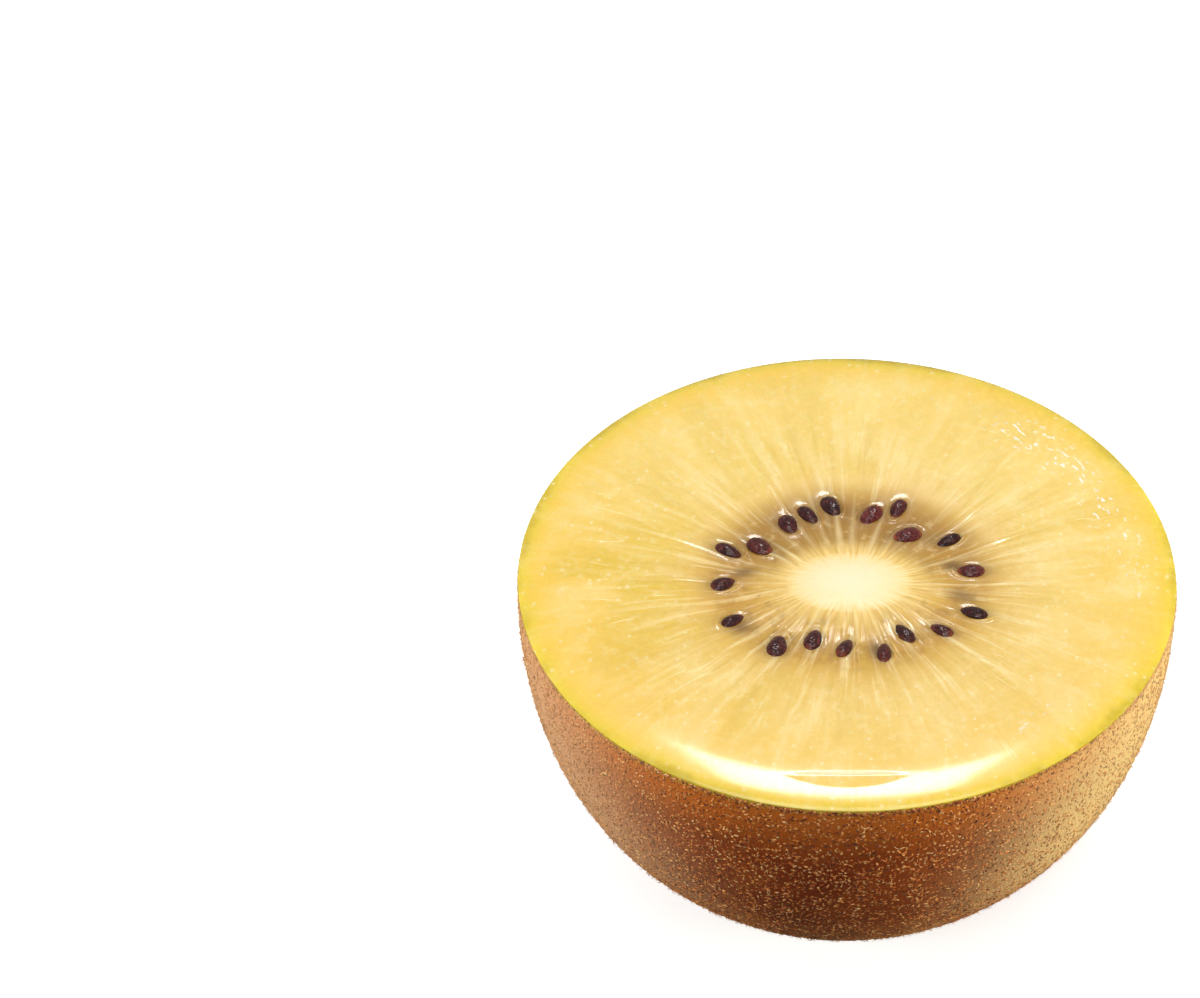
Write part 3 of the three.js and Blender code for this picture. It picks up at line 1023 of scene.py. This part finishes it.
def ripe_flesh():
    material, tree, shader = new_material("ripe_flesh")
    plan = attribute(tree, "plan", "Vector")
    share = parts_of(tree, plan)[2]
    walls_and_painted_glints, seed_shade, jelly = parts_of(tree, attribute(tree, "tissue_and_painted_light", "Vector"))
    where = object_place(tree)
    outer = spread(tree, share, 0.22, 0.5)
    inside = spread(tree, share, 0.97, 0.8)

    rays = noise(tree, plan, (20, 20, 2), 2)
    mottle = noise(tree, where, 1100, roughness=0.6)
    fleck, tone = specks(tree, where, 1300, 0.3)
    fleck = times(tree, fleck, spread(tree, tone, 0.6, 0.8), outer)
    nicks_and_painted_glints = knife_nicks_and_painted_glints(tree, plan)
    veins = times(tree, winding_veins(tree, plan), outer, inside)
    colour = tinted(
        tree,
        zone_colours(tree, plan, rays, outer, inside),
        (times(tree, spread(tree, mottle, 0.5, 0.7), outer, inside, 0.22), "fff2ba"),
        (times(tree, fleck, 0.4), "fff6cc"),
        # The nicks' white is a painted highlight.
        (times(tree, nicks_and_painted_glints, 0.9), "fffdf0"),
        (times(tree, veins, 0.3), "fff0b4"),
        # The pale channel: walls and fibres, whose pale colour partly stands for wet glints, and the
        # painted highlight line of the bite's crest.
        (times(tree, walls_and_painted_glints, 0.7), "fbeab8"),
        # Painted shade over the deeper seeds and round the cut ones.
        (seed_shade, "82602e"),
    )

    grain = noise(tree, where, 1500)
    relief = plus(
        tree,
        times(tree, grain, 0.35),
        times(tree, rays, 0.4),
        times(tree, noise(tree, where, 1000, 2), jelly, 2.2),
        nicks_and_painted_glints,
        times(tree, veins, 0.3),
        times(tree, fleck, 0.1),
    )
    dry = maths(tree, "SUBTRACT", 1.0, jelly)
    fibrous = times(tree, spread(tree, share, 0.4, 0.28), dry)
    finish = {
        "Base Color": colour,
        "Normal": bumped(tree, relief, 0.4, 0.1 * MM),
        "Roughness": plus(tree, spread(tree, grain, 0.3, 0.7, 0.2, 0.32), times(tree, fibrous, 0.2)),
        "IOR": 1.42,
        "Coat Weight": spread(tree, fibrous, 0.0, 1.0, 1.0, 0.1),
        "Coat Roughness": 0.1,
        "Subsurface Weight": 0.3,
        "Subsurface Radius": (1.0, 0.62, 0.22),
        "Subsurface Scale": 1.2 * MM,
    }
    fill(tree, shader, finish)
    return material


flesh.data.materials.append(ripe_flesh())

# %% [markdown]
# ## Suede skin
#
# The skin is brown, with russet, gold and dark specks. The finest of its down is left to the material
# as a painted sheen: where the skin turns away from the eye at its left and right sides, one looks
# through more of the down, and the colour turns to golden tan, a little more at the right. A Layer
# Weight node tells how far the skin has turned, and the sheen of the Principled shader adds the soft
# shimmer. Painted shade darkens the skin towards the resting end. Towards the cut a painted glow
# stands for the flesh shining through, warm at first and olive at the very edge.

# %% Skin material
RIM_GLOW_DEPTH = 8 * MM
EDGE_GLOW_DEPTH = 0.7 * MM
SKIN_TONES = [(0.3, "64260c"), (0.5, "82340e"), (0.72, "9c4c18")]
DOT_TONES = [(0.0, "401608"), (0.28, "883814"), (0.5, "cc6e2c"), (0.8, "f0a050"), (1.0, "fcd498")]


def shade_towards_resting_end(tree):
    """A mask of painted shade that rises to a half towards the resting end."""
    height = parts_of(tree, object_place(tree))[2]
    return spread(tree, height, 13 * MM, 2 * MM, 0.0, 0.5)


def painted_side_sheen(tree, along, height):
    """A painted sheen on the left and right sides, where the skin turns away, and its tan: both a little
    more at the right.
    """
    rightward = spread(tree, along, -10 * MM, 22 * MM)
    lit_sides = plus(tree, spread(tree, along, -6 * MM, -22 * MM), spread(tree, along, 3 * MM, 18 * MM))
    turned = plus(tree, turned_away(tree), times(tree, rightward, 0.08))
    amount = times(
        tree,
        spread(tree, turned, 0.32, 0.85),
        spread(tree, height, 3 * MM, 16 * MM),
        lit_sides,
        spread(tree, rightward, 0.0, 1.0, 0.8, 0.88),
    )
    return amount, blend_colours(tree, rightward, paint("e4b68c"), paint("f0d494"))


def suede_skin():
    material, tree, shader = new_material("suede_skin")
    where = object_place(tree)
    along, _, height = parts_of(tree, where)
    base = ramp(tree, noise(tree, where, 140, 4), SKIN_TONES)
    # A painted glow of the flesh shining through the skin: warm towards the cut, olive at the very edge.
    rim = spread(tree, height, CUT_HEIGHT - RIM_GLOW_DEPTH, CUT_HEIGHT, 0.0, 0.8)
    edge = spread(tree, height, CUT_HEIGHT - EDGE_GLOW_DEPTH, CUT_HEIGHT, 0.0, 0.9)
    base = tinted(tree, base, (rim, "cc7022"), (edge, "b09a34"))
    mask, tone = specks(tree, where, 2700, 0.45)
    colour = blend_colours(tree, times(tree, mask, 0.9), base, ramp(tree, tone, DOT_TONES))
    # A painted sheen turns the skin's left and right sides golden tan where they turn away.
    painted_sheen, sheen_tan = painted_side_sheen(tree, along, height)
    colour = blend_colours(tree, painted_sheen, colour, sheen_tan)

    fine = noise(tree, where, 2600)
    finish = {
        # Painted shade darkens the skin towards the resting end.
        "Base Color": tinted(tree, colour, (shade_towards_resting_end(tree), "40190a")),
        "Normal": bumped(tree, plus(tree, mask, times(tree, fine, 0.6)), 0.8, 0.12 * MM),
        "Roughness": spread(tree, fine, 0.3, 0.7, 0.6, 0.8),
        "Specular IOR Level": 0.2,
        "Sheen Weight": 0.3,
        "Sheen Roughness": 0.3,
        "Sheen Tint": paint("eab878"),
    }
    fill(tree, shader, finish)
    return material


skin.data.materials.append(suede_skin())

# %% [markdown]
# ## Fuzz
#
# The tufts and hairs are too small for a texture of their own. Each copy carries one random tone,
# and a ramp turns the tone into gold, russet or pale straw. Like the skin under them, they get a
# painted sheen at the two sides of the fruit and painted shade towards the resting end.

# %% Fuzz materials
TUFT_TONES = [(0.0, "481a0a"), (0.28, "8c3c14"), (0.55, "c4662a"), (0.8, "e09248"), (1.0, "f2c484")]
HAIR_TONES = [(0.0, "a05c24"), (0.5, "cc8438"), (1.0, "f0cc90")]


def fuzz(name, stops, sheen):
    """A dull fibre whose colour comes from the copy's own tone, clouded a little in space."""
    material, tree, shader = new_material(name)
    where = object_place(tree)
    cloud = noise(tree, where, 400, 2)
    tones = ramp(tree, plus(tree, attribute(tree, "tone", "Fac"), centred(tree, cloud)), stops)
    aside = maths(tree, "ABSOLUTE", parts_of(tree, where)[0])
    # A painted sheen at the two sides, where the fibres turn away from the eye.
    lit_sides = spread(tree, aside, 10 * MM, 24 * MM)
    painted_sheen = times(tree, spread(tree, turned_away(tree), 0.3, 0.8, 0.35, 0.75), lit_sides)
    finish = {
        # Painted shade darkens the fibres towards the resting end, and a painted sheen makes them paler
        # at the two sides.
        "Base Color": tinted(tree, tones, (shade_towards_resting_end(tree), "5a260e"), (painted_sheen, "e6c088")),
        "Roughness": spread(tree, cloud, 0.3, 0.7, 0.4, 0.6),
        "Sheen Weight": sheen,
        "Sheen Tint": paint("f0c890"),
    }
    fill(tree, shader, finish)
    return material


tufts.data.materials.append(fuzz("tuft_fibre", TUFT_TONES, 0.15))
hairs.data.materials.append(fuzz("hair_fibre", HAIR_TONES, 0.2))

# %% [markdown]
# ## Seeds and cork
#
# The seeds are a dark reddish brown, redder still at the tips, with pits that the speckle group
# deepens and darkens with painted shade, and wet with juice, so they have a coat. The cork of the
# stem scar is dry and cracked.

# %% Seed and scar materials
SEED_TONES = [(0.0, "2e0e10"), (0.6, "421616"), (1.0, "602220")]
CORK_TONES = [(0.3, "3d2818"), (0.55, "5d4029"), (0.8, "806042")]


def seed_coat():
    material, tree, shader = new_material("seed_coat")
    where = object_place(tree)
    tone, tip = attribute(tree, "tone", "Fac"), attribute(tree, "tip", "Fac")
    cloud = noise(tree, where, 1800, 2)
    pits, _ = specks(tree, where, 4200, 0.5)
    colour = tinted(
        tree,
        ramp(tree, tone, SEED_TONES),
        (times(tree, spread(tree, tip, 0.5, 1.0), tone, 0.9), "9c4c2a"),
        (spread(tree, cloud, 0.5, 0.7, 0.0, 0.5), "743830"),
        # Painted shade in the pits.
        (times(tree, pits, 0.6), "1a080a"),
    )
    finish = {
        "Base Color": colour,
        "Normal": bumped(tree, maths(tree, "SUBTRACT", 1.0, pits), 1.0, 0.12 * MM),
        "Roughness": spread(tree, pits, 0.0, 1.0, 0.2, 0.4),
        "Specular IOR Level": 0.25,
        "Coat Weight": 0.4,
        "Coat Roughness": 0.06,
    }
    fill(tree, shader, finish)
    return material


def scar_cork():
    material, tree, shader = new_material("scar_cork")
    where = object_place(tree)
    cells, tone = specks(tree, where, 2200, 0.5)
    cloud = noise(tree, where, 700, 4)
    finish = {
        "Base Color": tinted(tree, ramp(tree, cloud, CORK_TONES), (times(tree, tone, 0.3), "2b1b10")),
        "Normal": bumped(tree, cells, 0.6, 0.1 * MM),
        "Roughness": spread(tree, cloud, 0.3, 0.7, 0.75, 0.92),
    }
    fill(tree, shader, finish)
    return material


seeds.data.materials.append(seed_coat())
scar.data.materials.append(scar_cork())

# %% [markdown]
# ## Tying the pieces to the imported model
#
# All the pieces are one fruit, so they ride on the one body, and the imported solid that they stand
# for is hidden.

# %% Ride on the body
for piece, finish in (
    (flesh, "flesh"),
    (skin, "skin"),
    (tufts, "skin"),
    (hairs, "skin"),
    (scar, "scar"),
    (seeds, "seed"),
):
    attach(piece, "root")
    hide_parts("kiwi_half")

# %% [markdown]
# ## Studio
#
# The fruit stands on a table of white glass that is lit from below, as a shop's picture is taken,
# so the floor is near white and shadows stay faint. What the camera sees of the floor and what the
# fruit receives from it are told apart by the Light Path node: the fruit sees it as a plain pale
# sheet. The light is soft. A box behind the fruit stands just where the gentle slope of the near
# lip mirrors it as a bright band, while the flat face mirrors what is below it. A low box on either
# side brightens the turning edges of the skin. Those two give light but aren't mirrored, or they
# would glare in the wet face. The sky is white and fills the rest.

# %% Floor and sky
FLOOR_SIZE = 8.0
FLOOR_GLOW = 0.55
SKY_STRENGTH = 0.42
SKY_SEEN = 0.97


def pale_floor():
    material, tree, shader = new_material("pale_floor")
    cloud = noise(tree, object_place(tree), 30, 2)
    seen = ramp(tree, cloud, [(0.0, "f8f8f7"), (1.0, "fdfdfc")])
    direct = node(tree, "ShaderNodeLightPath").outputs["Is Camera Ray"]
    finish = {
        "Base Color": blend_colours(tree, direct, paint("504c4a"), seen),
        "Roughness": 0.9,
        "Emission Color": blend_colours(tree, direct, paint("000000"), paint("ffffff")),
        "Emission Strength": FLOOR_GLOW,
    }
    fill(tree, shader, finish)
    return material


half = FLOOR_SIZE / 2
corners = np.array([[-half, -half, 0], [half, -half, 0], [half, half, 0], [-half, half, 0]])
floor = new_piece("floor", corners, [[0, 1, 2, 3]])
floor.data.materials.append(pale_floor())


def white_sky():
    """A white world, brighter to the camera than to the fruit."""
    world = bpy.data.worlds.new("sky")
    world.use_nodes = True
    tree = world.node_tree
    direct = node(tree, "ShaderNodeLightPath").outputs["Is Camera Ray"]
    strength = plus(tree, times(tree, direct, SKY_SEEN - SKY_STRENGTH), SKY_STRENGTH)
    fill(tree, tree.nodes["Background"], {"Color": paint("ffffff"), "Strength": strength})
    return world


bpy.context.scene.world = white_sky()
bpy.context.scene.view_settings.view_transform = "Standard"


# %% Lights
def soft_box(name, place, target, width, height, watts, colour="ffffff", mirrored=True):
    """A rectangular area light at a place, turned to face a target, and mirrored or not."""
    light = bpy.data.lights.new(name, "AREA")
    light.shape = "RECTANGLE"
    light.size = width
    light.size_y = height
    light.energy = watts
    light.color = paint(colour)[:3]
    made = add_object(name, light)
    made.location = place
    made.rotation_mode = "QUATERNION"
    made.rotation_quaternion = (Vector(target) - Vector(place)).to_track_quat("-Z", "Y")
    made.visible_camera = False
    made.visible_glossy = mirrored


def raised(elevation, bearing, distance):
    """A place at a distance: elevation above the floor, bearing from +Y towards +X, in degrees."""
    rise, turn = math.radians(elevation), math.radians(bearing)
    flat = distance * math.cos(rise)
    return Vector((flat * math.sin(turn), flat * math.cos(turn), distance * math.sin(rise)))


face_middle = (0, 0, CUT_HEIGHT)
fruit_middle = (0, 0, CUT_HEIGHT / 2)
soft_box("band_box", raised(61, 2.5, 1.0), face_middle, 0.19, 0.14, 1.35)
soft_box("top_box", raised(80, 180, 1.4), face_middle, 1.0, 0.8, 5.4)
soft_box("left_box", raised(3.5, -82, 1.0), fruit_middle, 0.35, 0.4, 14, "fff6e8", False)
soft_box("right_box", raised(3.5, 92, 1.0), fruit_middle, 0.35, 0.4, 18.5, "fff4dc", False)
soft_box("front_box", raised(40, 200, 1.2), fruit_middle, 0.5, 0.4, 2.9)
